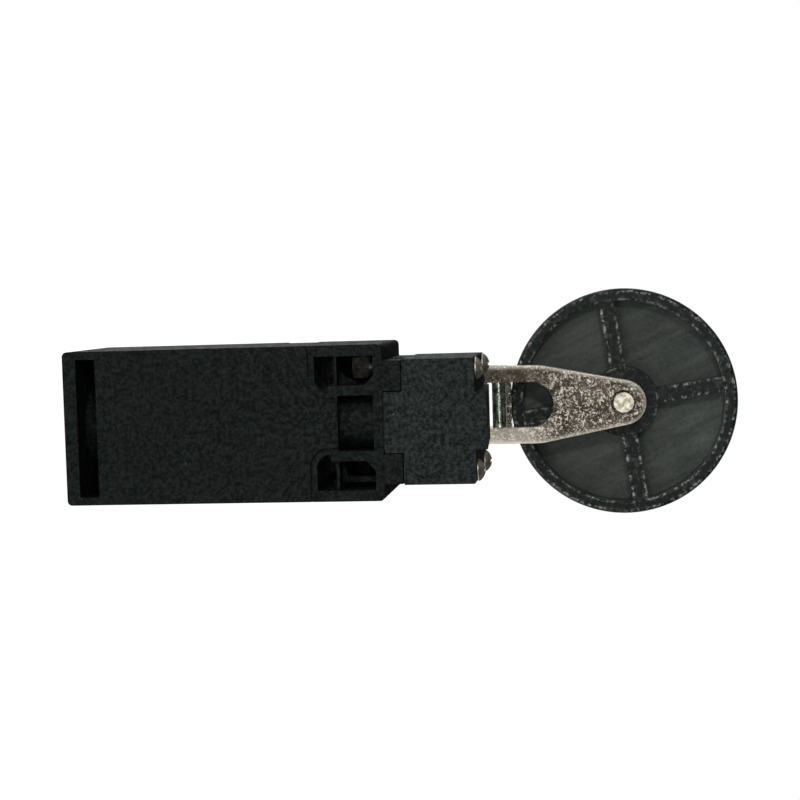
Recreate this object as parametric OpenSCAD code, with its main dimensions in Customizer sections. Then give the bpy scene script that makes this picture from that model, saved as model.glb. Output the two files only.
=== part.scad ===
// Limit switch with a side-rotary roller lever.
// Millimetres. +Z runs from the cable entry up to the head, the mounting face lies in
// the plane y = 0 and looks along +Y, and the lever is in front of the head, on the -Y side.
// The origin is on the mounting face, midway between the two fixing holes.

/* [Body] */
// Width of the body
body_w = 31; // [29:0.5:34]
// Length of the body, from the cable end to the shoulder under the head
body_l = 64.7; // [64:0.1:70]
// Depth of the body with its cover on
body_d = 29.5; // [29.5:0.5:31]
// Depth of the open shell behind the cover
shell_d = 25; // [24.8:0.1:25.2]
// Height of the shoulder above the line of the fixing holes
shoulder_z = 11.8; // [11.6:0.1:12.2]
// Distance between the fixing holes
fixing_pitch = 20; // [19.8:0.1:20.4]
// Diameter of the fixing holes
fixing_bore = 4.3; // [4:0.1:4.5]
// Diameter inside the thread of the cable entry
entry_bore = 14.38; // [12:0.1:15]

/* [Head] */
// Width of the head
head_w = 24.8; // [24.6:0.2:26]
// Depth of the head
head_d = 28.5; // [28:0.5:29]
// Height of the head's corner floors above the shoulder
head_h = 18.2; // [18:0.1:19]
// Height of the block between the corner floors
crest_h = 2.4; // [1.5:0.1:2.5]
// Height of the lever shaft above the shoulder
shaft_h = 10; // [9.8:0.1:10.2]

/* [Lever] */
// Distance from the lever shaft to the roller's axle
lever_r = 37.45; // [36:0.05:45]
// Thickness of the lever arm
arm_t = 3.6; // [3:0.1:3.6]
// Width of the two parallel arms together
arm_w = 17.2; // [17:0.1:18]
// Width of the window between the arms
window_w = 10; // [9:0.1:10.4]
// Radius of the lever's round end at the roller
arm_end_r = 4.9; // [4.5:0.1:6]
// Distance of the lever's rear face from the mounting face
arm_y = 44.2; // [44:0.1:46]

/* [Roller] */
// Diameter of the roller
roller_dia = 50; // [40:1:50]
// Width of the roller
roller_t = 10; // [8:0.5:12]
// Width of the roller's rim across its flat edge
rim_w = 2.9; // [2:0.1:4]
// Number of spokes on each side of the roller
spokes = 4; // [3:1:6]
// Diameter of the roller's hub
roller_hub = 15.6; // [12:0.2:18]

/* [Mechanism] */
// Travel of the plunger and of the contact carrier
travel = 2.2; // [1.8:0.1:2.2]
// Radius of the cam on the lever shaft
cam_r = 5.2; // [4.8:0.1:5.2]
// Turns in the plunger spring
coils = 4; // [3:1:4]

/* [Hidden] */

$fn = 64;
EPS = 0.01;
gap = 0.3;           // between bodies that move past each other
running = 0.05;      // radial clearance of a shaft in its bearing

half_w = body_w / 2;
body_bottom = shoulder_z - body_l;
corner_r = 1;
fixing_x = fixing_pitch / 2;

// Opening of the shell, closed by the cover
cavity_top = -8;
cavity_bottom = -44.2;
cavity_back = -2.6;
cavity_x = 13.1;
gasket_in = 0.3;
gasket_out = 1.3;
deck_z = -6;         // underside of the full-depth upper part
tab_root = 1;        // how far the corner tabs reach down into the body

// Wells at the fixing holes
well_x = 7.5;
well_out_x = 13.3;
well_bottom = -1.6;
well_top = 10.1;
well_floor = -26;
well_chamfer = 2.6;
well_lobe = 1.4;     // the quarter-round beside each well
wall_low_z = 2.2;    // thin wall between the fixing hole and the screw's end
wall_high_z = 2.75;
wall_top = -0.8;
web_y = -4.5;
web_t = 2.5;
web_plus = [[7.4, 2.2], [9.9, 2.2], [9.9, 3.4], [9, 4], [8.2, 5.6], [7.4, 6.4]];
web_minus = [[7.4, 2.2], [12.1, 2.2], [12.1, 10.2], [11, 10.2], [11, 4.6], [10.3, 3.7], [7.4, 3]];
frame_r = 3.6;       // corner of the step line that frames a well
panel_groove = 0.35;

// Cable entry
entry_y = -14.7;
entry_boss_r = 9.2;
slot_z = -50.2;
slot_h = 4;

// Plunger and carrier line
line_y = -14;
guide_r = 2.6;
spring_well_r = 4.2;
spring_well_z = 6;
plunger_end = cavity_top - 0.4;
plunger_head_z = 13.3;
plunger_head_r = 3.9;

// Head
head_z = shoulder_z + gap;
floor_z = shoulder_z + head_h;
crest_x = 5.65;
crest_drop = 1.5;    // fall of the block's top from its back to its front
tab_h = 3.7;
tab_in_x = 6.25;
tab_out_x = 12.2;
tab_d = 8.8;
screw_x = 10.1;
screw_rows = [-4.6, -23.4];
short_end = 13;      // where the short head screws end
long_end = 2.4;      // where the one long head screw ends, in the well on the +X side
insert_z = [2.9, 6.2];
insert_r = 2.59;     // over the corners
screw_r = 1.75;
cap_r = 2.25;
cap_h = 1.5;

// Lever shaft
shaft_z = shoulder_z + shaft_h;
shaft_r = 4;
journal_r = 2.5;
collar_y = -33;
collar_r = 8.2;
cam_y = [-9.5, -19];
shaft_step = -19.6;
bush_out_r = 5.6;
bush_end = -29;
seal_end = -31;
clip_y = [-31.3, -32.3];
cam_flat = cam_r - travel - 0.2;
cam_pin_r = 0.8;
cam_mid = (cam_y[0] + cam_y[1]) / 2;

// Lever
axle_z = shaft_z + lever_r;
arm_back = -arm_y;
arm_front = -arm_y - arm_t;
hub_r = 8.5;
hub_back = -36;
clamp_h = 9.9;
clamp_r = 1.5;
clamp_y = -47.1;
clamp_cap_r = 2.5;
clamp_cap_h = 2.2;
lug_front = -50.4;
lug_top = 11.8;      // above the shaft
bar_low = 10.5;      // bar that joins the lugs in front of the clamp screw
bar_high = 12.1;
lip_low = 11.65;     // lip behind the roller, across the window's lower end
lip_high = 12.7;
lip_t = 0.45;
slit_w = 1.2;
taper_start = 18.5;
window_start = 7.2;
window_end = 22.1;   // highest point of the window above the shaft

// Roller
axle_r = 2.2;
pin_sink = 0.7;      // countersink round the pin in the lever's rear face
bush_r = 3.4;
roller_back = -48.6;
roller_front = roller_back - roller_t;
roller_r = roller_dia / 2;
rim_in_r = roller_r - rim_w;
web_depth = 3.6;
spoke_w = 3.5;
spoke_turn = 8.7;
washer_t = 0.5;

// Contact block
block_x = 12.6;
block_back = -3;
block_floor = -7;
block_front = -20;
block_top = -10.3;
block_bottom = -41;
post_x = 7.4;
post_front = -17.4;
strip_t = 0.8;
carrier_x = 3.2;
carrier_y = [-10.5, -17.5];
carrier_top = plunger_end - gap;
carrier_bottom = -33.5;
nc_z = -15.4;        // underside of the normally closed fixed contacts
no_z = -33.8;        // top of the normally open fixed contacts
button_h = 0.4;
bridge_t = 1;
bridge_x = 8.4;
terminal_x = 9.9;
terminal_in = 2.4;   // from a contact plate to its terminal screw

// Cover and hinge
cover_back = -shell_d - 0.2;
cover_t = 1.8;
hinge_y = -27.3;
hinge_z = -8.6;
hinge_pin_r = 1;
knuckle_r = 2;
lug_x = [9.5, 12.8];
cover_screw_x = 12;
cover_screw_z = -48.6;
cover_screw_r = 1.3;
cover_screw_end = -22;
cover_head_y = -27.9; // seat of the cover screws' heads

// A flat shape in X and Z, given thickness from y downwards
module along_y(y, depth) {
    translate([0, y, 0]) rotate([90, 0, 0]) linear_extrude(depth) children();
}

// A box between two corners
module block(low, high) {
    translate(low) cube(high - low);
}

// A rod along Y, from y downwards
module rod_y(x, y, z, depth, r) {
    translate([x, y, z]) rotate([90, 0, 0]) cylinder(h = depth, r = r);
}

module rod_z(x, y, z, h, r) {
    translate([x, y, z]) cylinder(h = h, r = r);
}

// Rectangle from (x1, y1) to (x2, y2) with round corners
module round_rect(x1, y1, x2, y2, r) {
    translate([x1 + r, y1]) square([x2 - x1 - 2 * r, y2 - y1]);
    translate([x1, y1 + r]) square([x2 - x1, y2 - y1 - 2 * r]);
    for (x = [x1 + r, x2 - r], y = [y1 + r, y2 - r]) translate([x, y]) circle(r);
}

// Flat ring
module ring(r_out, r_in) {
    difference() {
        circle(r_out);
        circle(r_in);
    }
}

module both_sides() {
    children();
    mirror([1, 0, 0]) children();
}

// Compression spring along Z: stacked round coils joined by two short risers
module spring(z_low, z_high, r, wire_r, turns) {
    pitch = (z_high - z_low - 2 * wire_r) / turns;
    for (i = [0:turns]) {
        translate([0, 0, z_low + wire_r + i * pitch]) {
            rotate_extrude($fn = 40) translate([r, 0]) circle(wire_r, $fn = 16);
        }
    }
    for (i = [0:turns - 1]) {
        rotate([0, 0, 180 * (i % 2)]) {
            translate([r, 0, z_low + wire_r + i * pitch]) {
                cylinder(h = pitch, r = 0.9 * wire_r, $fn = 16);
            }
        }
    }
}

// --- Body ---

module well_outline() {
    difference() {
        union() {
            translate([well_x, well_bottom]) square([well_out_x - well_x, well_top - well_bottom]);
            translate([well_x - well_lobe, well_bottom]) square([well_lobe + 0.1, 2 * well_lobe]);
        }
        translate([well_x - well_lobe - EPS, well_bottom - EPS]) {
            difference() {
                square(2 * well_lobe);
                translate([2 * well_lobe, 2 * well_lobe]) circle(2 * well_lobe);
            }
        }
        translate([well_x, well_top]) rotate(45) square(well_chamfer, center = true);
    }
}

// Outline of the step line that frames a well, one groove wide
module well_frame() {
    low = well_bottom - 1.4;
    inner = well_x - 2.7;
    difference() {
        round_rect(inner, low, half_w + 5, shoulder_z + 5, frame_r);
        translate([panel_groove, panel_groove]) {
            round_rect(inner, low, half_w + 6, shoulder_z + 6, frame_r - panel_groove);
        }
    }
}

// The well is cored out in two parts, with a thin wall between them
module fixing_well() {
    difference() {
        along_y(EPS, -well_floor) well_outline();
        block([0, well_floor - 1, wall_low_z], [half_w, wall_top, wall_high_z]);
    }
    rod_y(fixing_x, -1, 0, body_d, fixing_bore / 2);
    along_y(EPS, panel_groove) well_frame();
}

module well_webs() {
    along_y(web_y, web_t) {
        polygon(web_plus);
        mirror([1, 0]) polygon(web_minus);
    }
}

module entry_slot() {
    difference() {
        block([-13.9, -12, slot_z], [13.9, 1, slot_z + slot_h]);
        rod_z(0, entry_y, slot_z - 1, slot_h + 2, entry_boss_r);
    }
}

// Pocket on the centre line with the round wall of the plunger guide in it
module centre_pocket() {
    difference() {
        block([-5.5, -7, 2.8], [5.5, 1, 9.9]);
        rod_z(0, -7.4, 0, shoulder_z, 5.7);
    }
}

// Outline around the opening of the shell, a distance outside it
module gasket_outline(out, r) {
    round_rect(-cavity_x - out, cavity_bottom - out, cavity_x + out, cavity_top + out, r);
}

module cover_gasket_ring(extra) {
    along_y(-shell_d + 0.8, 1 + extra) {
        difference() {
            gasket_outline(gasket_out + extra, 1.5);
            gasket_outline(gasket_in - extra, 1);
        }
    }
}

module body() {
    color([0.13, 0.15, 0.15]) {
        difference() {
            union() {
                along_y(0, shell_d) round_rect(-half_w, body_bottom, half_w, shoulder_z, corner_r);
                along_y(-1, body_d - 1) round_rect(-half_w, deck_z, half_w, shoulder_z, corner_r);
                both_sides() {
                    for (y = [-tab_d, -head_d]) {
                        block([tab_in_x, y, shoulder_z - tab_root],
                              [tab_out_x, y + tab_d, shoulder_z + tab_h]);
                    }
                    block([lug_x[0], hinge_y, hinge_z - 2.2], [lug_x[1], -shell_d + 0.1, deck_z + 0.1]);
                    translate([lug_x[0], hinge_y, hinge_z]) rotate([0, 90, 0]) {
                        cylinder(h = lug_x[1] - lug_x[0], r = knuckle_r + 0.2);
                    }
                }
            }
            block([-cavity_x, -shell_d - 1, cavity_bottom], [cavity_x, cavity_back, cavity_top]);
            both_sides() fixing_well();
            centre_pocket();
            entry_slot();
            rod_z(0, entry_y, body_bottom - 1, cavity_bottom - body_bottom + 2, entry_bore / 2);
            rod_z(0, line_y, cavity_top - 1, 30, guide_r + running);
            rod_z(0, line_y, spring_well_z, 30, spring_well_r);
            both_sides() {
                for (y = screw_rows) rod_z(screw_x, y, short_end - 1, 10, screw_r);
                rod_y(cover_screw_x, -shell_d + 5, cover_screw_z, 10, cover_screw_r + 0.4);
            }
            rod_z(screw_x, screw_rows[1], well_top - 1, 10, screw_r);
            cover_gasket_ring(0.1);
            translate([-half_w, hinge_y, hinge_z]) rotate([0, 90, 0]) {
                cylinder(h = body_w, r = hinge_pin_r);
            }
        }
        well_webs();
    }
}

// --- Cover ---

module cover() {
    color([0.12, 0.13, 0.13]) {
        difference() {
            union() {
                along_y(cover_back, body_d + cover_back) {
                    round_rect(-half_w, body_bottom, half_w, hinge_z - 2.6, corner_r);
                }
                along_y(cover_back - 0.2, body_d + cover_back - 0.2) {
                    translate([-lug_x[0] + gap, hinge_z - 4]) square([2 * (lug_x[0] - gap), 4]);
                }
                translate([-lug_x[0] + gap, hinge_y, hinge_z]) rotate([0, 90, 0]) {
                    cylinder(h = 2 * (lug_x[0] - gap), r = knuckle_r);
                }
            }
            along_y(cover_back + 1, body_d + cover_back - cover_t + 1) {
                round_rect(-cavity_x, cavity_bottom, cavity_x, hinge_z - 5.4, 1);
            }
            translate([-half_w, hinge_y, hinge_z]) rotate([0, 90, 0]) {
                cylinder(h = body_w, r = hinge_pin_r + running);
            }
            block([-half_w, hinge_y - 4, hinge_z], [half_w, hinge_y - knuckle_r - EPS, hinge_z + 3]);
            both_sides() {
                rod_y(cover_screw_x, -shell_d + 1, cover_screw_z, 10, 1.6);
                rod_y(cover_screw_x, cover_head_y, cover_screw_z, 5, 2.7);
            }
        }
    }
}

module cover_gasket() {
    color([0.25, 0.25, 0.26]) cover_gasket_ring(0);
}

module cover_screws() {
    color([0.72, 0.72, 0.7]) {
        both_sides() {
            difference() {
                union() {
                    rod_y(cover_screw_x, cover_screw_end, cover_screw_z,
                          cover_screw_end - cover_head_y + 0.5, cover_screw_r);
                    rod_y(cover_screw_x, cover_head_y, cover_screw_z, 1.4, 2.4);
                }
                block([cover_screw_x - 3, -body_d - 1, cover_screw_z - 0.35],
                      [cover_screw_x + 3, -body_d + 1, cover_screw_z + 0.35]);
            }
        }
    }
}

module cover_hinge_pin() {
    color([0.7, 0.7, 0.7]) {
        translate([-lug_x[1] + 0.2, hinge_y, hinge_z]) rotate([0, 90, 0]) {
            cylinder(h = 2 * lug_x[1] - 0.4, r = hinge_pin_r);
        }
    }
}

// --- Contact block ---

// One post that carries a terminal, with the hole for its screw
module terminal_post(z_low, z_high, z_screw) {
    difference() {
        block([post_x, post_front, z_low], [block_x, block_floor + 1, z_high]);
        rod_y(terminal_x, block_floor - 1.5, z_screw, 20, 1.55);
    }
}

module contact_block() {
    color([0.86, 0.84, 0.78]) {
        difference() {
            block([-block_x, block_floor, block_bottom], [block_x, block_back, block_top]);
            rod_y(0, block_back + 1, -25, 6, 1.5);
        }
        block([-block_x, block_front, block_bottom], [block_x, block_floor + 1, block_bottom + 2]);
        both_sides() {
            difference() {
                block([carrier_x + 0.4, block_front, block_bottom + 1],
                      [carrier_x + 1.4, block_floor + 1, block_top]);
                for (z = [nc_z - 5.5, no_z - 1.2]) {
                    block([carrier_x, block_front - 1, z], [carrier_x + 2, block_floor - 2, z + 6.5]);
                }
            }
            terminal_post(nc_z + strip_t, block_top, nc_z + terminal_in);
            terminal_post(block_bottom + 1, no_z - strip_t, no_z - terminal_in);
        }
    }
}

// Window in the carrier for one bridge and its spring
module carrier_window(z_low, z_high) {
    block([-carrier_x - 1, carrier_y[1] + 1.6, z_low], [carrier_x + 1, carrier_y[0] - 1.6, z_high]);
}

module contact_carrier() {
    color([0.75, 0.2, 0.15]) {
        difference() {
            block([-carrier_x, carrier_y[1], carrier_bottom], [carrier_x, carrier_y[0], carrier_top]);
            carrier_window(nc_z - 4.5, nc_z - button_h - 0.1);
            carrier_window(no_z + 2.5 + button_h, no_z + 6.9);
        }
    }
}

// Contact bridge with its two buttons, pointing up (side 1) or down (side -1)
module bridge(z_touch, side) {
    color([0.75, 0.6, 0.4]) {
        middle = z_touch - side * (button_h + bridge_t / 2);
        block([-bridge_x, line_y - 1.7, middle - bridge_t / 2],
              [bridge_x, line_y + 1.7, middle + bridge_t / 2]);
        for (x = [-6.6, 6.6]) {
            rod_z(x, line_y, side > 0 ? middle : z_touch, bridge_t / 2 + button_h, 1.2);
        }
    }
}

module nc_bridge() {
    bridge(nc_z - 0.1, 1);
}

module no_bridge() {
    bridge(no_z + 2.5, -1);
}

// Pair of fixed contacts, each a contact plate with a terminal plate bent up or down
module fixed_contacts(z, side) {
    color([0.82, 0.66, 0.32]) {
        both_sides() {
            difference() {
                union() {
                    low = side > 0 ? z : z - strip_t;
                    block([5.2, post_front - strip_t, low], [block_x - 0.2, -10, low + strip_t]);
                    block([post_x, post_front - strip_t, min(z, z + side * 4.9)],
                          [block_x - 0.2, post_front, max(z, z + side * 4.9)]);
                }
                rod_y(terminal_x, post_front + 1, z + side * terminal_in, 4, screw_r);
            }
        }
    }
}

module nc_fixed_contacts() {
    fixed_contacts(nc_z, 1);
}

module no_fixed_contacts() {
    fixed_contacts(no_z, -1);
}

module at_terminals() {
    for (x = [-terminal_x, terminal_x], z = [nc_z + terminal_in, no_z - terminal_in]) {
        translate([x, 0, z]) children();
    }
}

module terminal_clamps() {
    color([0.7, 0.7, 0.72]) {
        at_terminals() {
            difference() {
                block([-2.3, post_front - strip_t - 0.8, -2.3], [2.3, post_front - strip_t, 2.3]);
                rod_y(0, post_front + 1, 0, 4, screw_r);
            }
        }
    }
}

module terminal_screws() {
    color([0.78, 0.78, 0.76]) {
        at_terminals() {
            difference() {
                union() {
                    rod_y(0, block_floor - 3, 0, 12, 1.5);
                    rod_y(0, post_front - strip_t - 0.8, 0, 1.8, 2.5);
                }
                block([-3, post_front - 4, -0.35], [3, post_front - strip_t - 1.8, 0.35]);
            }
        }
    }
}

module bridge_springs() {
    color([0.8, 0.8, 0.78]) {
        translate([0, line_y, 0]) {
            spring(nc_z - 4.45, nc_z - 1.55, 1.3, 0.2, 3);
            spring(no_z + 3.95, no_z + 6.85, 1.3, 0.2, 3);
        }
    }
}

module return_spring() {
    color([0.8, 0.8, 0.78]) {
        translate([0, line_y, 0]) spring(block_bottom + 2.05, carrier_bottom - 0.05, 2.4, 0.3, 4);
    }
}

// --- Head ---

module head() {
    color([0.15, 0.16, 0.18]) {
        difference() {
            union() {
                along_y(0, head_d) round_rect(-head_w / 2, head_z, head_w / 2, floor_z, 0.6);
                block([-crest_x, -head_d, floor_z - 1], [crest_x, 0, floor_z]);
                translate([-crest_x, 0, 0]) rotate([90, 0, 90]) linear_extrude(2 * crest_x) {
                    polygon([[0, floor_z - 1], [0, floor_z + crest_h],
                             [-head_d, floor_z + crest_h - crest_drop], [-head_d, floor_z - 1]]);
                }
                rod_y(0, -head_d + 1, shaft_z, -collar_y - head_d + 1, collar_r);
            }
            both_sides() {
                block([tab_in_x - 0.2, -tab_d - 0.2, head_z - 1],
                      [head_w, 1, shoulder_z + tab_h + 0.2]);
                block([tab_in_x - 0.2, -head_d - 1, head_z - 1],
                      [head_w, -head_d + tab_d + 0.2, shoulder_z + tab_h + 0.2]);
                for (y = screw_rows) rod_z(screw_x, y, shoulder_z, 30, screw_r + running);
            }
            block([-6.2, cam_y[1] - 1, head_z - 1], [6.2, cam_y[0] + 1, shaft_z]);
            rod_y(0, cam_y[0] + 1, shaft_z, cam_y[0] - cam_y[1] + 2, 6.2);
            rod_y(0, -4, shaft_z, 10, journal_r + running);
            rod_y(0, cam_y[1] - 0.9, shaft_z, 20, bush_out_r);
        }
    }
}

module head_gasket() {
    color([0.3, 0.3, 0.3]) {
        difference() {
            translate([0, 0, shoulder_z]) linear_extrude(gap) {
                round_rect(-6, -head_d + 0.6, 6, -0.6, 1);
            }
            rod_z(0, line_y, shoulder_z - 1, 3, 4.5);
        }
    }
}

// Pan-head screw with a cross recess, its head on the head's corner floor
module head_screw(x, y, z_end) {
    translate([x, y, 0]) {
        difference() {
            union() {
                rod_z(0, 0, z_end, floor_z - z_end + 0.5, screw_r);
                translate([0, 0, floor_z]) rotate_extrude() {
                    intersection() {
                        square([cap_r, cap_h]);
                        translate([0, cap_h - 2.6]) circle(2.6);
                    }
                }
            }
            for (turn = [0, 90]) rotate(turn) {
                block([-1.3, -0.3, floor_z + 0.5], [1.3, 0.3, floor_z + 3]);
            }
        }
    }
}

module head_screws() {
    color([0.74, 0.72, 0.68]) {
        both_sides() head_screw(screw_x, screw_rows[0], short_end);
        head_screw(-screw_x, screw_rows[1], short_end);
        head_screw(screw_x, screw_rows[1], long_end);
    }
}

// Hexagonal threaded insert on the end of the long head screw
module screw_insert() {
    color([0.76, 0.74, 0.7]) {
        difference() {
            translate([screw_x, screw_rows[1], insert_z[0]]) rotate(30) {
                cylinder(h = insert_z[1] - insert_z[0], r = insert_r, $fn = 6);
            }
            rod_z(screw_x, screw_rows[1], 0, 10, screw_r + 0.02);
        }
    }
}

module lever_shaft() {
    color([0.75, 0.75, 0.74]) {
        difference() {
            union() {
                rod_y(0, -5, shaft_z, -5 - shaft_step, journal_r);
                rod_y(0, shaft_step, shaft_z, shaft_step - lug_front + 0.5, shaft_r);
            }
            rod_z(0, cam_mid, shaft_z - 10, 20, cam_pin_r);
        }
    }
}

module cam() {
    color([0.85, 0.84, 0.8]) {
        difference() {
            rod_y(0, cam_y[0], shaft_z, cam_y[0] - cam_y[1], cam_r);
            rod_y(0, cam_y[0] + 1, shaft_z, 20, journal_r);
            block([-10, -30, shaft_z - 10], [10, 0, shaft_z - cam_flat]);
            rod_z(0, cam_mid, shaft_z - 10, 20, cam_pin_r);
        }
    }
}

module cam_pin() {
    color([0.6, 0.6, 0.6]) {
        rod_z(0, cam_mid, shaft_z - cam_flat + 0.1, cam_flat + cam_r - 0.4, cam_pin_r);
    }
}

module shaft_bush() {
    color([0.7, 0.5, 0.25]) {
        along_y(cam_y[1] - 1, cam_y[1] - 1 - bush_end) {
            translate([0, shaft_z]) ring(bush_out_r, shaft_r + running);
        }
    }
}

module shaft_seal() {
    color([0.1, 0.1, 0.1]) {
        along_y(bush_end, bush_end - seal_end) {
            translate([0, shaft_z]) ring(bush_out_r, shaft_r + running);
        }
    }
}

module retaining_ring() {
    color([0.35, 0.35, 0.35]) {
        along_y(clip_y[0], clip_y[0] - clip_y[1]) {
            translate([0, shaft_z]) {
                difference() {
                    ring(shaft_r + 1.2, shaft_r);
                    translate([-1, 0]) square([2, 10]);
                }
            }
        }
    }
}

// --- Plunger ---

module plunger() {
    color([0.9, 0.9, 0.86]) {
        rod_z(0, line_y, plunger_end, plunger_head_z - plunger_end + EPS, guide_r);
        rod_z(0, line_y, plunger_head_z, shaft_z - cam_r - gap - plunger_head_z, plunger_head_r);
    }
}

module plunger_spring() {
    color([0.8, 0.8, 0.78]) {
        translate([0, line_y, 0]) spring(spring_well_z + 1.3, plunger_head_z - 0.1, 3.4, 0.35, coils);
    }
}

module plunger_seal() {
    color([0.1, 0.1, 0.1]) {
        translate([0, line_y, spring_well_z]) linear_extrude(1.2) {
            ring(spring_well_r - 0.05, guide_r + running);
        }
    }
}

// --- Lever ---

// Outline of the lever in X and Z: parallel arms, then a taper to the round end
module arm_outline() {
    slope = asin((arm_w / 2 - arm_end_r) / (lever_r - taper_start));
    side = [cos(slope), sin(slope)];
    circle(hub_r);
    translate([-arm_w / 2, 0]) square([arm_w, taper_start]);
    translate([0, taper_start]) circle(arm_w / 2);
    translate([0, lever_r]) circle(arm_end_r);
    big = [0, taper_start] + side * arm_w / 2;
    small = [0, lever_r] + side * arm_end_r;
    polygon([big, small, [-small[0], small[1]], [-big[0], big[1]]]);
}

module window_outline() {
    round_z = window_end - window_w / 2;
    translate([-window_w / 2, window_start]) square([window_w, round_z - window_start]);
    translate([0, round_z]) circle(window_w / 2);
    translate([-slit_w / 2, 0]) square([slit_w, window_start + 1]);
}

module lever_arm() {
    color([0.72, 0.68, 0.62]) {
        difference() {
            union() {
                along_y(arm_back, arm_t) translate([0, shaft_z]) arm_outline();
                rod_y(0, hub_back, shaft_z, hub_back - lug_front, hub_r);
                block([-arm_w / 2, lug_front, shaft_z], [arm_w / 2, arm_back, shaft_z + lug_top]);
            }
            along_y(hub_back + 1, 30) translate([0, shaft_z]) window_outline();
            rod_y(0, hub_back + 1, shaft_z, 30, shaft_r);
            rod_y(0, arm_back + 1, axle_z, 10, axle_r);
            translate([0, arm_back + EPS, axle_z]) rotate([90, 0, 0]) {
                cylinder(h = pin_sink, r1 = axle_r + pin_sink, r2 = axle_r);
            }
            translate([0, clamp_y, shaft_z + clamp_h]) rotate([0, 90, 0]) {
                translate([0, 0, -arm_w]) cylinder(h = 2 * arm_w, r = clamp_r);
                translate([0, 0, arm_w / 2 - clamp_cap_h]) cylinder(h = 5, r = clamp_cap_r);
            }
        }
        block([-window_w / 2 - 1, lug_front, shaft_z + bar_low],
              [window_w / 2 + 1, lug_front + 1, shaft_z + bar_high]);
        block([-window_w / 2 - 1, arm_front - lip_t, shaft_z + lip_low],
              [window_w / 2 + 1, arm_front, shaft_z + lip_high]);
    }
}

module clamp_screw() {
    color([0.6, 0.64, 0.6]) {
        translate([0, clamp_y, shaft_z + clamp_h]) rotate([0, 90, 0]) {
            difference() {
                union() {
                    translate([0, 0, -arm_w / 2 + 0.2]) cylinder(h = arm_w - clamp_cap_h, r = clamp_r);
                    translate([0, 0, arm_w / 2 - clamp_cap_h]) {
                        cylinder(h = clamp_cap_h - 0.2, r = clamp_cap_r - 0.02);
                    }
                }
                translate([0, 0, arm_w / 2 - 1.5]) cylinder(h = 3, r = 1.45, $fn = 6);
            }
        }
    }
}

// --- Roller ---

module roller() {
    color([0.11, 0.12, 0.12]) {
        difference() {
            union() {
                translate([0, roller_back, axle_z]) rotate([90, 0, 0]) {
                    rotate_extrude($fn = 128) {
                        round_rect(rim_in_r, 0, roller_r, roller_t, 0.8);
                        translate([bush_r, web_depth]) {
                            square([rim_in_r - bush_r + 1, roller_t - 2 * web_depth]);
                        }
                        translate([bush_r, 0]) square([roller_hub / 2 - bush_r, roller_t]);
                    }
                }
                along_y(roller_back - 0.1, roller_t - 0.2) {
                    translate([0, axle_z]) {
                        for (i = [0:spokes - 1]) {
                            rotate(i * 360 / spokes - spoke_turn) {
                                translate([-spoke_w / 2, roller_hub / 2 - 1]) {
                                    square([spoke_w, roller_r - roller_hub / 2 - 0.2]);
                                }
                            }
                        }
                    }
                }
            }
            rod_y(0, roller_back + 1, axle_z, roller_t + 2, bush_r);
        }
    }
}

module roller_bush() {
    color([0.75, 0.6, 0.3]) {
        along_y(roller_back + 0.1, roller_t + 0.15) {
            translate([0, axle_z]) ring(bush_r, axle_r + running);
        }
    }
}

module roller_pin() {
    color([0.8, 0.76, 0.68]) {
        rod_y(0, arm_back - 0.05, axle_z, arm_back - 0.05 - roller_front + 0.3, axle_r);
        translate([0, roller_front - 0.25, axle_z]) rotate([90, 0, 0]) rotate_extrude() {
            intersection() {
                square([3.6, 1.3]);
                translate([0, -3.9]) circle(5.2);
            }
        }
    }
}

module roller_washer() {
    color([0.8, 0.8, 0.78]) {
        along_y(arm_front - 0.05, washer_t) translate([0, axle_z]) ring(4.6, axle_r + running);
    }
}

body();
cover();
cover_gasket();
cover_screws();
cover_hinge_pin();
contact_block();
contact_carrier();
nc_bridge();
no_bridge();
nc_fixed_contacts();
no_fixed_contacts();
terminal_screws();
terminal_clamps();
bridge_springs();
return_spring();
head();
head_gasket();
head_screws();
screw_insert();
lever_shaft();
cam();
cam_pin();
shaft_bush();
shaft_seal();
retaining_ring();
plunger();
plunger_spring();
plunger_seal();
lever_arm();
clamp_screw();
roller();
roller_bush();
roller_pin();
roller_washer();
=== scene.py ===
import math

import bmesh
import bpy
from mathutils import Matrix, Vector


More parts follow.
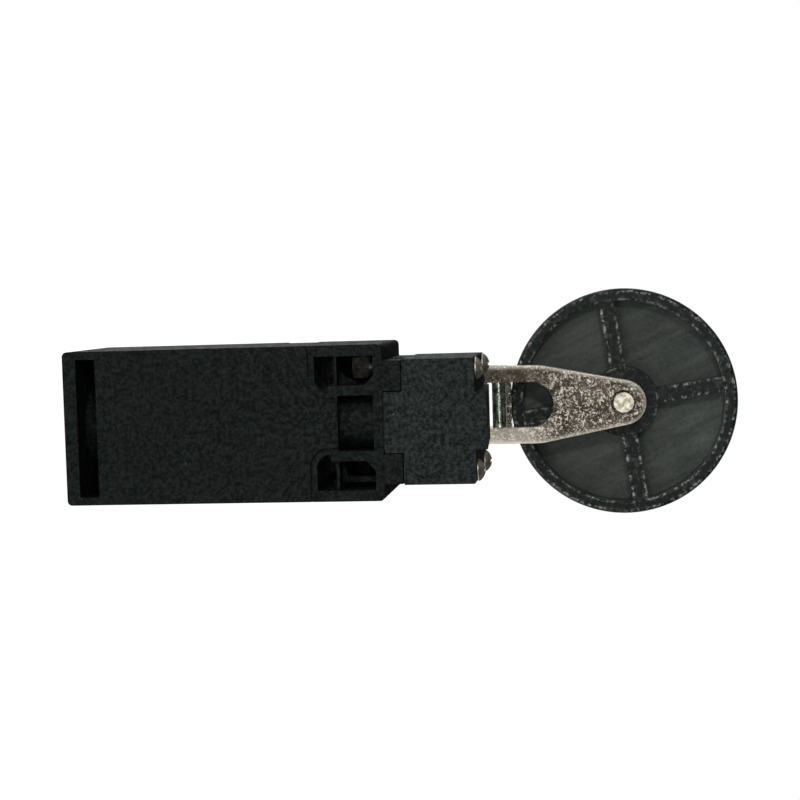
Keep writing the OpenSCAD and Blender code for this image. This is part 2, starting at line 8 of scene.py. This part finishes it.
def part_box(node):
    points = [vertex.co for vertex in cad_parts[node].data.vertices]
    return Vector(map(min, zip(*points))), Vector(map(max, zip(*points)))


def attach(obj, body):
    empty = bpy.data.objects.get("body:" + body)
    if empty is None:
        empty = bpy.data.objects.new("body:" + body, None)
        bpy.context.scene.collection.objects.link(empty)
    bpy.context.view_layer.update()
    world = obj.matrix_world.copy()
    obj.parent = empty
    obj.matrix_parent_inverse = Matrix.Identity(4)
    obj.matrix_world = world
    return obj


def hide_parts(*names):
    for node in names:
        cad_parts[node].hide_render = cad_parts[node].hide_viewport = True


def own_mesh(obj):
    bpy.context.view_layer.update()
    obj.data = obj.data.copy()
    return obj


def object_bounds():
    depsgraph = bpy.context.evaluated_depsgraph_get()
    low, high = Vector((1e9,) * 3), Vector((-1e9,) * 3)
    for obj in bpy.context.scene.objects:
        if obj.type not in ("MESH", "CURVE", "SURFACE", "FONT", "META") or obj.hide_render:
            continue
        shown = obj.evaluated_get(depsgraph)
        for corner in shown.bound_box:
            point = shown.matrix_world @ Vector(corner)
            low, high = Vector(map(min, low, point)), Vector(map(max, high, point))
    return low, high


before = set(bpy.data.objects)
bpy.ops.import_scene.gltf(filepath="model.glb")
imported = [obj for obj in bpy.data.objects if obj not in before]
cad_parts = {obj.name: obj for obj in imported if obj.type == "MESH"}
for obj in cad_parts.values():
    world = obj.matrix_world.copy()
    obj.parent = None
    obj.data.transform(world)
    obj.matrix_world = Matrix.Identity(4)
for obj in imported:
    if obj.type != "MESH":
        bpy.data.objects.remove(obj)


# ---------------------------------------------------------------------------------------
# View
# The switch is seen from its mounting face, with the head to the right, over a pale floor.
# The light on that face is soft and comes mostly from its +X side and from above the head.
# ---------------------------------------------------------------------------------------

MM = 0.001
cad_box = [list(corner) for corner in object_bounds()]

camera_place = Vector((25.1, 331.6, 56.3)) * MM
camera_aim = Vector((4.4, -0.3, 15.3)) * MM
camera_roll = math.radians(-1.72)

camera = bpy.data.objects.new("camera", bpy.data.cameras.new("camera"))
camera.data.sensor_width = 36
camera.data.lens = 76.7
camera.data.clip_start = 0.01
camera.data.clip_end = 10
backwards = (camera_place - camera_aim).normalized()
rolled = Matrix.Rotation(camera_roll, 3, backwards) @ Vector((1, 0, 0))
rightwards = rolled.cross(backwards).normalized()
turn = Matrix((rightwards, backwards.cross(rightwards), backwards)).transposed()
camera.matrix_world = Matrix.Translation(camera_place) @ turn.to_4x4()
bpy.context.scene.collection.objects.link(camera)
bpy.context.scene.camera = camera
bpy.context.scene.view_settings.view_transform = "Standard"


class Value:
    """A socket of a node tree, on which Python arithmetic adds Math nodes."""

    def __init__(self, tree, socket):
        self.tree = tree
        self.socket = socket

    def math(self, operation, *others):
        sockets = dict(enumerate((self, *others)))
        return add_node(self.tree, "ShaderNodeMath", sockets, operation=operation)

    def __add__(self, other):
        return self.math("ADD", other)

    def __mul__(self, other):
        return self.math("MULTIPLY", other)

    def __sub__(self, other):
        return self.math("SUBTRACT", other)

    def __rsub__(self, other):
        return (self * -1).math("ADD", other)

    def __abs__(self):
        return self.math("ABSOLUTE")

    __radd__ = __add__
    __rmul__ = __mul__

    def ramp(self, low, high):
        """0 below low, 1 above high, and smooth between them."""
        sockets = {"Value": self, "From Min": low, "From Max": high}
        return add_node(self.tree, "ShaderNodeMapRange", sockets, "Result", interpolation_type="SMOOTHSTEP")

    def band(self, middle, width):
        """1 where the value is the middle one, falling to 0 at a width on either side."""
        return 1 - abs(self - middle).ramp(0, width)


def connect(tree, socket, value):
    """Links a Value to a socket, or sets a plain value on it."""
    if isinstance(value, Value):
        tree.links.new(value.socket, socket)
    elif isinstance(value, tuple) and len(value) == 3 and socket.type == "RGBA":
        socket.default_value = (*value, 1)
    else:
        socket.default_value = value


def add_node(tree, kind, sockets=None, output=0, **settings):
    """Adds a node, makes its settings, fills its sockets and returns one output as a Value."""
    node = tree.nodes.new(kind)
    for name, setting in settings.items():
        setattr(node, name, setting)
    for socket, value in (sockets or {}).items():
        connect(tree, node.inputs[socket], value)
    return Value(tree, node.outputs[output])


def axes(tree, place):
    """The three coordinates of a place, each as a Value."""
    return [add_node(tree, "ShaderNodeSeparateXYZ", {"Vector": place}, axis) for axis in "XYZ"]


world = bpy.data.worlds.new("studio")
world.use_nodes = True
world.node_tree.nodes.clear()
bpy.context.scene.world = world
air = world.node_tree
sideways, along_back, _ = axes(air, add_node(air, "ShaderNodeTexCoord", output="Generated"))
from_front = 1 - along_back.ramp(-0.6, 0.5)
from_side = sideways.ramp(-0.1, 1.0)
strength = from_front * 0.07 + from_side * 0.12 + 0.006
glow = add_node(air, "ShaderNodeBackground", {"Color": (1.0, 0.985, 0.95), "Strength": strength})
white = add_node(air, "ShaderNodeBackground", {"Color": (1.0, 1.0, 1.0), "Strength": 1.0})
seen = add_node(air, "ShaderNodeLightPath", output="Is Camera Ray")
sky = add_node(air, "ShaderNodeMixShader", {0: seen, 1: glow, 2: white})
connect(air, air.nodes.new("ShaderNodeOutputWorld").inputs["Surface"], sky)

device = (Vector(cad_box[0]) + Vector(cad_box[1])) / 2


def area_light(name, offset, size, power):
    """A round light at an offset from the middle of the switch, which it faces."""
    place = device + Vector(offset)
    light = bpy.data.objects.new(name, bpy.data.lights.new(name, "AREA"))
    light.data.shape = "DISK"
    light.data.size = size
    light.data.energy = power
    light.data.color = (1.0, 0.97, 0.92)
    light.location = place
    light.rotation_mode = "QUATERNION"
    light.rotation_quaternion = (device - place).to_track_quat("-Z", "Y")
    bpy.context.scene.collection.objects.link(light)


area_light("key", (0.26, 0.50, 0.13), size=0.05, power=0.9)
area_light("fill", (-0.40, 0.35, -0.05), size=0.25, power=0.35)
area_light("near_eye", (0.03, 0.55, 0.08), size=0.05, power=0.30)
area_light("front", (0.2, -0.6, -0.35), size=0.4, power=1.5)

floor_z = cad_box[0][2] - 2 * MM
floor_reach = 6
corners = [(x * floor_reach, y * floor_reach, floor_z) for x, y in ((-1, -1), (1, -1), (1, 1), (-1, 1))]
floor_mesh = bpy.data.meshes.new("floor")
floor_mesh.from_pydata(corners, [], [(0, 1, 2, 3)])
floor = bpy.data.objects.new("floor", floor_mesh)
bpy.context.scene.collection.objects.link(floor)


def new_material(name, **constants):
    """A material with one Principled surface, its plain values set on the sockets."""
    material = bpy.data.materials.new(name)
    material.use_nodes = True
    principled = material.node_tree.nodes["Principled BSDF"]
    for socket, value in constants.items():
        connect(material.node_tree, principled.inputs[socket.replace("_", " ")], value)
    return material, material.node_tree, principled


pale_floor = new_material("pale_floor", Base_Color=(0.8, 0.8, 0.8), Roughness=0.9,
                          Emission_Color=(1.0, 1.0, 1.0), Emission_Strength=1.0)[0]
floor_mesh.materials.append(pale_floor)


# ---------------------------------------------------------------------------------------
# Body
# The housing is one moulding in black glass-filled plastic with a fine matt grain.  Its
# edges are softly rounded by the mould, and faint marks of the tool's inserts cross its back.
# ---------------------------------------------------------------------------------------

def noise(tree, place, size, detail=2.0, roughness=0.5, stretch=None):
    """Noise whose blobs are about size metres across."""
    if stretch:
        place = add_node(tree, "ShaderNodeMapping", {"Vector": place, "Scale": stretch})
    sockets = {"Vector": place, "Scale": 1 / size, "Detail": detail, "Roughness": roughness}
    return add_node(tree, "ShaderNodeTexNoise", sockets)


def distance(x, y):
    """Length of the vector (x, y)."""
    return (x * x + y * y).math("SQRT")


def blend(tree, factor, first, second):
    """A colour between two others: a Mix node has these at inputs 6 and 7 and at output 2."""
    sockets = {"Factor": factor, 6: first, 7: second}
    return add_node(tree, "ShaderNodeMix", sockets, 2, data_type="RGBA")


def relief(tree, principled, height, depth):
    """Feeds a height from 0 to 1, depth metres deep, to the surface's normal."""
    bump = add_node(tree, "ShaderNodeBump", {"Distance": depth, "Height": height}, "Normal")
    connect(tree, principled.inputs["Normal"], bump)


speck_grey = (0.20, 0.20, 0.19)
mark_black = (0.002, 0.003, 0.003)
long_mark = Vector((-1.3, 0, -38.5)) * MM
long_mark_half = 8.5 * MM
long_mark_radius = 3.65 * MM
long_mark_line = 0.16 * MM
round_mark = Vector((-1.9, 0, -36.6)) * MM
round_mark_radius = 4.3 * MM
round_mark_line = 0.14 * MM
back_skin = 0.3 * MM


def moulded_plastic(name, dark, light, marks=None):
    """Matt moulded plastic: mottled colour, sparse pale specks and a fine grain."""
    material, tree, principled = new_material(name, Specular_IOR_Level=0.09)
    place = add_node(tree, "ShaderNodeTexCoord", output="Object")
    cloud = noise(tree, place, 8 * MM, 4.0).ramp(0.3, 0.75)
    coarse = noise(tree, place, 1.7 * MM, 3.0, 0.7).ramp(0.42, 0.60)
    fine = noise(tree, place, 0.8 * MM, 3.0, 0.75).ramp(0.42, 0.60)
    specks = noise(tree, place, 1.1 * MM, 1.0).ramp(0.78, 0.82)
    colour = blend(tree, cloud * 0.15 + coarse * 0.25 + fine * 0.6, dark, light)
    colour = blend(tree, specks * 0.5, colour, speck_grey)
    height = fine * 0.6 + coarse * 0.4
    if marks:
        mark = marks(tree, place)
        height = height - mark * 1.2
        colour = blend(tree, mark * 0.55, colour, mark_black)
    connect(tree, principled.inputs["Base Color"], colour)
    connect(tree, principled.inputs["Roughness"], 0.72 - coarse * 0.15 - fine * 0.15)
    relief(tree, principled, height, 0.08 * MM)
    return material


def back_marks(tree, place):
    """The lines that a long insert and a round one left on the back of the body."""
    x, y, z = axes(tree, place)
    along = (abs(x - long_mark.x) - long_mark_half).math("MAXIMUM", 0.0)
    long_line = distance(along, z - long_mark.z).band(long_mark_radius, long_mark_line)
    round_line = distance(x - round_mark.x, z - round_mark.z).band(round_mark_radius, round_mark_line)
    worn = noise(tree, place, 4 * MM, 3.0).ramp(0.36, 0.6)
    back = y.ramp(-back_skin, -back_skin / 3)
    return (long_line * (worn * 0.7 + 0.3) + round_line * worn * 0.5) * back


def merged_copy(node, name):
    """A copy of a CAD node with its loose triangles joined and its flat faces made whole."""
    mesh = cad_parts[node].data.copy()
    mesh.name = name
    mesh.materials.clear()
    shape = bmesh.new()
    shape.from_mesh(mesh)
    bmesh.ops.remove_doubles(shape, verts=shape.verts, dist=0.002 * MM)
    bmesh.ops.dissolve_limit(shape, angle_limit=math.radians(0.3), verts=shape.verts, edges=shape.edges)
    shape.to_mesh(mesh)
    shape.free()
    piece = bpy.data.objects.new(name, mesh)
    bpy.context.scene.collection.objects.link(piece)
    return piece


def set_modifiers(piece):
    """Turns a piece with its modifiers into a plain mesh."""
    bpy.context.view_layer.update()
    evaluated = piece.evaluated_get(bpy.context.evaluated_depsgraph_get())
    mesh = bpy.data.meshes.new_from_object(evaluated)
    piece.modifiers.clear()
    piece.data = mesh
    return piece


def round_edges(piece, radius, steps=3):
    """Rounds the sharp edges, as a mould or a deburring tool does."""
    bevel = piece.modifiers.new("rounding", "BEVEL")
    bevel.width = radius
    bevel.segments = steps
    bevel.limit_method = "ANGLE"
    bevel.angle_limit = math.radians(32)
    bevel.miter_outer = "MITER_ARC"
    bevel.use_clamp_overlap = True
    piece.data.shade_smooth()
    weights = piece.modifiers.new("normals", "WEIGHTED_NORMAL")
    weights.weight = 80
    weights.keep_sharp = True
    return set_modifiers(piece)


def place_piece(piece, body, slot, material, *nodes):
    """Gives a finished piece its material, its body and the CAD nodes that it stands for."""
    piece.data.materials.clear()
    piece.data.materials.append(material)
    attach(piece, body)
    if nodes:
        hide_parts(*nodes)


body_black = ((0.0001, 0.0004, 0.0004), (0.0095, 0.0145, 0.0130))
body_plastic = moulded_plastic("body_plastic", *body_black, back_marks)
housing = round_edges(merged_copy("body", "housing_shell"), 0.16 * MM)
place_piece(housing, "housing", "housing_black", body_plastic, "body")


# ---------------------------------------------------------------------------------------
# Front cover
# The cover is a shallow cap of the same plastic.  It hooks on a hinge pin at the top and
# two screws hold it down on a rubber gasket.
# ---------------------------------------------------------------------------------------

cover_plastic = moulded_plastic("cover_plastic", *body_black)
cover = round_edges(merged_copy("cover", "front_cap"), 0.2 * MM)
place_piece(cover, "front_cover", "housing_black", cover_plastic, "cover")


# ---------------------------------------------------------------------------------------
# Head
# The rotary head is a separate black moulding, a shade greyer than the body.  It sits
# between the body's four corner tabs and leaves a thin seam all round.
# ---------------------------------------------------------------------------------------

head_plastic = moulded_plastic("head_plastic", (0.001, 0.0025, 0.003), (0.028, 0.036, 0.034))
head = round_edges(merged_copy("head", "rotary_head"), 0.2 * MM)
place_piece(head, "housing", "head_black", head_plastic, "head")


# ---------------------------------------------------------------------------------------
# Small metal parts
# Screws, pins and clamps are zinc-plated steel with a cloudy film.  The shaft is turned,
# the contacts are brass, the bushes are sintered bronze, and the springs are drawn wire.
# ---------------------------------------------------------------------------------------

def metal(name, dark, light, rough, grain, depth, stretch=None):
    """A metal whose colour, roughness and relief vary with one cloud and one fine grain."""
    material, tree, principled = new_material(name, Metallic=1.0)
    place = add_node(tree, "ShaderNodeTexCoord", output="Object")
    cloud = noise(tree, place, 1.2 * MM, 4.0, 0.65).ramp(0.3, 0.7)
    fine = noise(tree, place, grain, 2.0, 0.6, stretch)
    connect(tree, principled.inputs["Base Color"], blend(tree, cloud, dark, light))
    connect(tree, principled.inputs["Roughness"], rough + cloud * 0.12 + fine * 0.08)
    relief(tree, principled, fine, depth)
    return material


def dress(finishes):
    """Gives each CAD node that is kept the finish that it is listed under."""
    for material, nodes in finishes.items():
        for node in nodes:
            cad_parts[node].data.materials[0] = material


steel_dark = (0.42, 0.40, 0.34)
steel_light = (0.80, 0.77, 0.68)
turning_lines = (0.1, 1.0, 0.1)
plated_steel = metal("plated_steel", steel_dark, steel_light, 0.36, 0.3 * MM, 0.02 * MM)
clamp_steel = metal("clamp_screw_steel", (0.22, 0.27, 0.24), (0.66, 0.74, 0.68), 0.20, 0.4 * MM, 0.03 * MM)
rivet_steel = metal("rivet_steel", (0.24, 0.22, 0.17), (0.86, 0.82, 0.70), 0.34, 0.4 * MM, 0.08 * MM)
turned_steel = metal("turned_steel", steel_dark, steel_light, 0.22, 0.2 * MM, 0.01 * MM, turning_lines)
spring_wire = metal("spring_wire", (0.30, 0.30, 0.30), (0.55, 0.55, 0.54), 0.25, 0.4 * MM, 0.01 * MM)
brass = metal("contact_brass", (0.55, 0.38, 0.14), (0.80, 0.62, 0.30), 0.24, 0.5 * MM, 0.01 * MM)
bronze = metal("sintered_bronze", (0.34, 0.20, 0.08), (0.62, 0.42, 0.20), 0.40, 0.3 * MM, 0.04 * MM)
zinc = metal("cast_zinc", (0.30, 0.30, 0.30), (0.60, 0.60, 0.58), 0.36, 0.5 * MM, 0.05 * MM)
dress({
    plated_steel: ("cover_screws", "cover_hinge_pin", "head_screws", "screw_insert", "cam_pin",
                   "terminal_screws", "terminal_clamps", "roller_washer"),
    clamp_steel: ("clamp_screw",),
    rivet_steel: ("roller_pin",),
    turned_steel: ("lever_shaft",),
    spring_wire: ("retaining_ring",),
    brass: ("nc_bridge", "no_bridge", "nc_fixed_contacts", "no_fixed_contacts"),
    bronze: ("shaft_bush", "roller_bush"),
    zinc: ("cam",),
})


# ---------------------------------------------------------------------------------------
# Screw threads
# The long head screw shows its end in the well beside the fixing hole, and the clamp
# screw crosses the lever's window.  Each has a rolled thread.
# ---------------------------------------------------------------------------------------

def node_group(name, inputs):
    """An empty geometry group with named inputs, and its input and output nodes."""
    group = bpy.data.node_groups.new(name, "GeometryNodeTree")
    for label, kind in inputs.items():
        group.interface.new_socket(label, in_out="INPUT", socket_type=kind)
    group.interface.new_socket("Geometry", in_out="OUTPUT", socket_type="NodeSocketGeometry")
    return group, group.nodes.new("NodeGroupInput"), group.nodes.new("NodeGroupOutput")


def finish_group(group, shape, material, result):
    """Ends a group with its instances realised and its material set."""
    real = add_node(group, "GeometryNodeRealizeInstances", {"Geometry": shape})
    dressed = add_node(group, "GeometryNodeSetMaterial", {"Geometry": real, "Material": material})
    connect(group, result.inputs["Geometry"], dressed)


def grown_piece(name, group, values):
    """A piece made by a geometry group from an empty mesh, turned into a plain mesh."""
    piece = bpy.data.objects.new(name, bpy.data.meshes.new(name))
    bpy.context.scene.collection.objects.link(piece)
    maker = piece.modifiers.new("maker", "NODES")
    maker.node_group = group
    sockets = {item.name: item.identifier for item in group.interface.items_tree if item.in_out == "INPUT"}
    for label, value in values.items():
        maker[sockets[label]] = value
    return set_modifiers(piece)


def helix_group():
    """A round wire wound along Z, from its centre line's radius, height, turns and wire radius."""
    inputs = {"Geometry": "NodeSocketGeometry", "Radius": "NodeSocketFloat", "Height": "NodeSocketFloat",
              "Turns": "NodeSocketFloat", "Wire": "NodeSocketFloat", "Steps": "NodeSocketInt",
              "Material": "NodeSocketMaterial"}
    group, given, result = node_group("helix", inputs)
    given = {label: Value(group, given.outputs[label]) for label in inputs}
    line = add_node(group, "GeometryNodeCurveSpiral", {
        "Resolution": given["Steps"], "Rotations": given["Turns"], "Start Radius": given["Radius"],
        "End Radius": given["Radius"], "Height": given["Height"]})
    profile = add_node(group, "GeometryNodeCurvePrimitiveCircle", {
        "Resolution": 8, "Radius": given["Wire"]})
    wire = add_node(group, "GeometryNodeCurveToMesh", {
        "Curve": line, "Profile Curve": profile, "Fill Caps": True})
    smooth = add_node(group, "GeometryNodeSetShadeSmooth", {"Geometry": wire})
    finish_group(group, smooth, given["Material"], result)
    return group


helix = helix_group()


def wound(name, material, foot, radius, height, turns, wire, steps, turned=None):
    """A helix that starts at a point and runs along Z, or along another axis when turned."""
    values = {"Radius": radius, "Height": height, "Turns": turns, "Wire": wire, "Steps": steps,
              "Material": material}
    piece = grown_piece(name, helix, values)
    if turned:
        piece.data.transform(turned)
    piece.data.transform(Matrix.Translation(foot))
    return piece


thread_steps = 40
head_thread_radius = 1.75 * MM
head_thread_inset = 2.25 * MM
head_thread_start = 0.3 * MM
head_thread_length = 7.2 * MM
head_thread_wire = 0.16 * MM
clamp_thread_start = -1.6 * MM
clamp_thread_radius = 1.5 * MM
clamp_thread_length = 4.0 * MM
clamp_thread_wire = 0.1 * MM

low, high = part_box("head_screws")
head_thread_foot = Vector((
    high.x - head_thread_inset, low.y + head_thread_inset, low.z + head_thread_start))
head_thread = wound("long_screw_thread", plated_steel, head_thread_foot, head_thread_radius,
                    head_thread_length, 12, head_thread_wire, thread_steps)
place_piece(head_thread, "housing", "plated_steel", plated_steel)

low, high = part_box("clamp_screw")
clamp_thread_foot = Vector((clamp_thread_start, (low.y + high.y) / 2, (low.z + high.z) / 2))
along_x = Matrix.Rotation(math.radians(90), 4, "Y")
clamp_thread = wound("clamp_screw_thread", clamp_steel, clamp_thread_foot, clamp_thread_radius,
                     clamp_thread_length, 7, clamp_thread_wire, thread_steps, along_x)
place_piece(clamp_thread, "lever", "clamp_steel", clamp_steel)


# ---------------------------------------------------------------------------------------
# Springs
# The springs are wound in drawn wire.  The two on the bridges press the contacts together.
# The two others push the plunger and the carrier up, and shorten as these move down.
# ---------------------------------------------------------------------------------------

spring_steps = 44


def coil_spring(name, node, wire, turns):
    """A helical spring that fills the box of its CAD node."""
    low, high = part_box(node)
    middle = (low + high) / 2
    height = high.z - low.z
    foot = Vector((middle.x, middle.y, low.z + wire))
    radius = (high.x - low.x) / 2 - wire
    piece = wound(name, spring_wire, foot, radius, height - 2 * wire, turns, wire, spring_steps)
    place_piece(piece, "housing", "spring_steel", spring_wire, node)
    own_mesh(piece)


dress({spring_wire: ("bridge_springs",)})
coil_spring("wound_plunger_spring", "plunger_spring", wire=0.35 * MM, turns=4)
coil_spring("wound_return_spring", "return_spring", wire=0.3 * MM, turns=4)


# ---------------------------------------------------------------------------------------
# Plastic and rubber parts inside
# The contact block is ivory thermoset and the carrier and plunger are nylon.  The seals
# are soft black rubber.
# ---------------------------------------------------------------------------------------

def soft_part(name, dark, light, rough, specular):
    """A moulded part with a faint cloud in its colour and a fine skin."""
    material, tree, principled = new_material(name, Specular_IOR_Level=specular)
    place = add_node(tree, "ShaderNodeTexCoord", output="Object")
    cloud = noise(tree, place, 3 * MM, 4.0).ramp(0.3, 0.7)
    fine = noise(tree, place, 0.3 * MM, 2.0)
    connect(tree, principled.inputs["Base Color"], blend(tree, cloud * 0.7 + fine * 0.3, dark, light))
    connect(tree, principled.inputs["Roughness"], rough + fine * 0.15)
    relief(tree, principled, fine, 0.02 * MM)
    return material


thermoset = soft_part("ivory_thermoset", (0.56, 0.52, 0.42), (0.68, 0.64, 0.54), 0.45, 0.5)
nylon = soft_part("nylon", (0.60, 0.60, 0.54), (0.74, 0.74, 0.68), 0.35, 0.5)
seal_rubber = soft_part("seal_rubber", (0.010, 0.010, 0.010), (0.024, 0.024, 0.024), 0.7, 0.3)
dress({
    thermoset: ("contact_block",),
    nylon: ("contact_carrier", "plunger"),
    seal_rubber: ("cover_gasket", "head_gasket", "shaft_seal", "plunger_seal"),
})


# ---------------------------------------------------------------------------------------
# Lever arm
# The lever is a zinc casting, blasted to a glittering grain on its faces, with smooth
# bright walls round the window.  Its outer edges are rounded and carry a painted highlight,
# and near the shaft one arm carries painted shade and the other painted light.
# ---------------------------------------------------------------------------------------

shaft_axis = (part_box("lever_shaft")[0].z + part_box("lever_shaft")[1].z) / 2
axle_axis = (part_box("roller_pin")[0].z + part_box("roller_pin")[1].z) / 2
arm_front = -47.8 * MM
arm_half = 8.6 * MM
arm_inner = 4.5 * MM
arm_outer = 5.5 * MM
taper_from = shaft_axis + 18.5 * MM
tip_radius = 4.9 * MM
taper = math.asin((arm_half - tip_radius) / (axle_axis - taper_from))
window_half = 5.3 * MM
window_top = shaft_axis + 22.2 * MM
# Span of z over which the painted shade on the +X arm fades out.
painted_shade_span = (shaft_axis + 15.2 * MM, shaft_axis + 25.2 * MM)
# Span of z over which the painted light on the -X arm fades out.
painted_light_span = (shaft_axis + 14.2 * MM, shaft_axis + 24.2 * MM)
bar_half = 5.1 * MM
bar_foot = shaft_axis + 9.7 * MM

zinc_shadow = (0.050, 0.042, 0.033)
zinc_dull = (0.13, 0.11, 0.088)
zinc_glint = (0.98, 0.92, 0.80)
wall_dark = (0.45, 0.41, 0.34)
wall_light = (0.75, 0.69, 0.58)
bar_grey = (0.22, 0.26, 0.23)


def outer_rounding(x, z):
    """0 on the lever's faces, rising to 1 over the outline's last millimetre."""
    sides = abs(x) * math.cos(taper) + (z - taper_from) * math.sin(taper) - arm_half
    sides = sides.math("MAXIMUM", abs(x) - arm_half)
    at_tip = z.ramp(axle_axis + 0.9 * MM, axle_axis + 1.1 * MM)
    past_outline = sides * (1 - at_tip) + (distance(x, z - axle_axis) - tip_radius) * at_tip
    return past_outline.ramp(-1.1 * MM, 0.3 * MM)


def blasted_zinc():
    """Glittering faces, smooth window walls, painted shade on one arm, and painted light on the other arm
    and along the rounded edges.
    """
    material, tree, principled = new_material("blasted_zinc", Metallic=1.0)
    place = add_node(tree, "ShaderNodeTexCoord", output="Object")
    x, y, z = axes(tree, place)
    facing_back = abs(axes(tree, add_node(tree, "ShaderNodeTexCoord", output="Normal"))[1])
    rounded = outer_rounding(x, z)
    in_window = 1 - abs(x).ramp(window_half, window_half + 0.7 * MM)
    in_window = in_window * (1 - z.ramp(window_top, window_top + MM))
    wall = (1 - facing_back.ramp(0.5, 0.85)) * in_window
    # Painted shade: the +X arm near the shaft loses most of its glints and edge highlight.
    arm_painted_shade = (1 - z.ramp(*painted_shade_span)) * x.ramp(arm_inner, arm_outer) * (1 - rounded * 0.7)
    # Painted light: the -X arm near the shaft is given a lighter colour.
    arm_painted_light = (1 - z.ramp(*painted_light_span)) * (1 - x.ramp(-arm_outer, -arm_inner))
    bars = (1 - y.ramp(arm_front - 0.06 * MM, arm_front)) * z.ramp(bar_foot, bar_foot + 0.2 * MM)
    bars = bars * (1 - abs(x).ramp(bar_half, bar_half + 0.1 * MM))
    grains = noise(tree, place, 0.5 * MM, 4.0, 0.8)
    patches = noise(tree, place, 2.2 * MM, 3.0, 0.6)
    glints = (grains * 0.75 + patches * 0.25).ramp(0.49, 0.60)
    cloud = noise(tree, place, 4 * MM, 3.0).ramp(0.3, 0.7)
    # Painted light: a lighter colour along the rounded outer edges and on the -X arm near the shaft;
    # painted shade dims the +X arm there.
    shine = glints * (1 - arm_painted_shade * 0.85) + rounded * (0.8 - arm_painted_shade * 0.3) + arm_painted_light * 0.45
    face_colour = blend(tree, shine, blend(tree, cloud, zinc_shadow, zinc_dull), zinc_glint)
    colour = blend(tree, wall, face_colour, blend(tree, cloud, wall_dark, wall_light))
    connect(tree, principled.inputs["Base Color"], blend(tree, bars * 0.85, colour, bar_grey))
    connect(tree, principled.inputs["Roughness"], 0.42 - glints * 0.14 - wall * 0.12)
    smooth = wall.math("MAXIMUM", bars)
    relief(tree, principled, grains * (1 - smooth * 0.95) * 0.2 - rounded * 0.35, 1.2 * MM)
    return material


lever = round_edges(merged_copy("lever_arm", "cast_lever"), 0.15 * MM)
place_piece(lever, "lever", "lever_zinc", blasted_zinc(), "lever_arm")


# ---------------------------------------------------------------------------------------
# Roller
# The roller is a black elastomer moulding: a flat-edged rim, spokes and a hub standing
# proud of a thin web, whose lighter tone is painted sheen.  Pale scuff marks from use and
# painted highlights lie on the edges that stand proud.
# ---------------------------------------------------------------------------------------

wheel_low, wheel_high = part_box("roller")
wheel_axis = (wheel_low + wheel_high) / 2
wheel_half = (wheel_high.y - wheel_low.y) / 2
wheel_radius = (wheel_high.z - wheel_low.z) / 2
rim_inner = wheel_radius - 2.9 * MM
hub_radius = 7.8 * MM
spoke_half = 1.75 * MM
spoke_turn = math.radians(8.7)
scuff_and_highlight_width = 0.5 * MM
brushing_turn = math.radians(-25)
brushing_lines = (1.0, 1.0, 0.10)

# Web colours are lightened by painted sheen; rib colours are the rubber's own black.
web_dark = (0.018, 0.024, 0.022)
web_light = (0.075, 0.086, 0.080)
rib_dark = (0.001, 0.003, 0.003)
rib_light = (0.007, 0.013, 0.012)
scuff_and_highlight_grey = (0.42, 0.44, 0.42)


def rib_borders(x, up):
    """1 along the edges of the rim and the spokes, and fainter along the hub's."""
    radius = distance(x, up)
    first = abs(x * math.cos(spoke_turn) - up * math.sin(spoke_turn))
    second = abs(x * math.sin(spoke_turn) + up * math.cos(spoke_turn))
    spokes = first.math("MINIMUM", second).band(spoke_half - 0.35 * MM, scuff_and_highlight_width)
    spokes = spokes * (1 - radius.ramp(rim_inner - 0.5 * MM, rim_inner - 0.1 * MM))
    spokes = spokes * radius.ramp(hub_radius, hub_radius + 0.4 * MM)
    inner_ring = radius.band(rim_inner + 0.4 * MM, scuff_and_highlight_width)
    outer_ring = radius.band(wheel_radius - 0.7 * MM, scuff_and_highlight_width)
    hub_ring = radius.band(hub_radius - 0.4 * MM, 0.3 * MM) * 0.4
    return spokes.math("MAXIMUM", inner_ring).math("MAXIMUM", outer_ring).math("MAXIMUM", hub_ring)


def rubber_wear_and_sheen():
    """Black rubber: a slanting brushed web with painted sheen, blacker ribs, and chipped pale scuff marks
    and painted highlights on their edges.
    """
    material, tree, principled = new_material("rubber_wear_and_sheen", Specular_IOR_Level=0.15)
    place = add_node(tree, "ShaderNodeTexCoord", output="Object")
    x, y, z = axes(tree, place)
    proud = (abs(y - wheel_axis.y) - wheel_half).ramp(-0.3 * MM, -0.15 * MM)
    cloud = noise(tree, place, 8 * MM, 4.0).ramp(0.3, 0.7)
    fine = noise(tree, place, 0.8 * MM, 3.0, 0.7).ramp(0.3, 0.7)
    slant = add_node(tree, "ShaderNodeMapping", {"Vector": place, "Rotation": (0.0, brushing_turn, 0.0)})
    brushed = noise(tree, slant, 2.2 * MM, 4.0, 0.7, brushing_lines).ramp(0.40, 0.70)
    smear = noise(tree, place, 5 * MM, 4.0, 0.7).ramp(0.35, 0.65)
    chips = noise(tree, place, 1.1 * MM, 4.0, 0.8).ramp(0.46, 0.66)
    # Pale scuff marks from wear, together with painted highlights along the edges of the rim and spokes.
    scuffs_and_highlights = (rib_borders(x, z - wheel_axis.z) * 0.85 + 0.10) * chips * (smear * 0.8 + 0.2) * proud
    # Painted sheen: the web gets a much lighter tone than the ribs of the same rubber; its slanting streaks
    # are brushed texture.
    web = blend(tree, brushed * 0.35 + cloud * 0.35 + fine * 0.3, web_dark, web_light)
    rib = blend(tree, fine * 0.5 + cloud * 0.5, rib_dark, rib_light)
    colour = blend(tree, scuffs_and_highlights, blend(tree, proud, web, rib), scuff_and_highlight_grey)
    connect(tree, principled.inputs["Base Color"], colour)
    connect(tree, principled.inputs["Roughness"], 0.42 + fine * 0.1 + cloud * 0.1 + scuffs_and_highlights * 0.2)
    relief(tree, principled, fine * 0.4 + brushed * 0.3 + scuffs_and_highlights * 0.5, 0.06 * MM)
    return material


wheel = round_edges(merged_copy("roller", "rubber_roller"), 0.25 * MM)
place_piece(wheel, "roller_wheel", "roller_black", rubber_wear_and_sheen(), "roller")
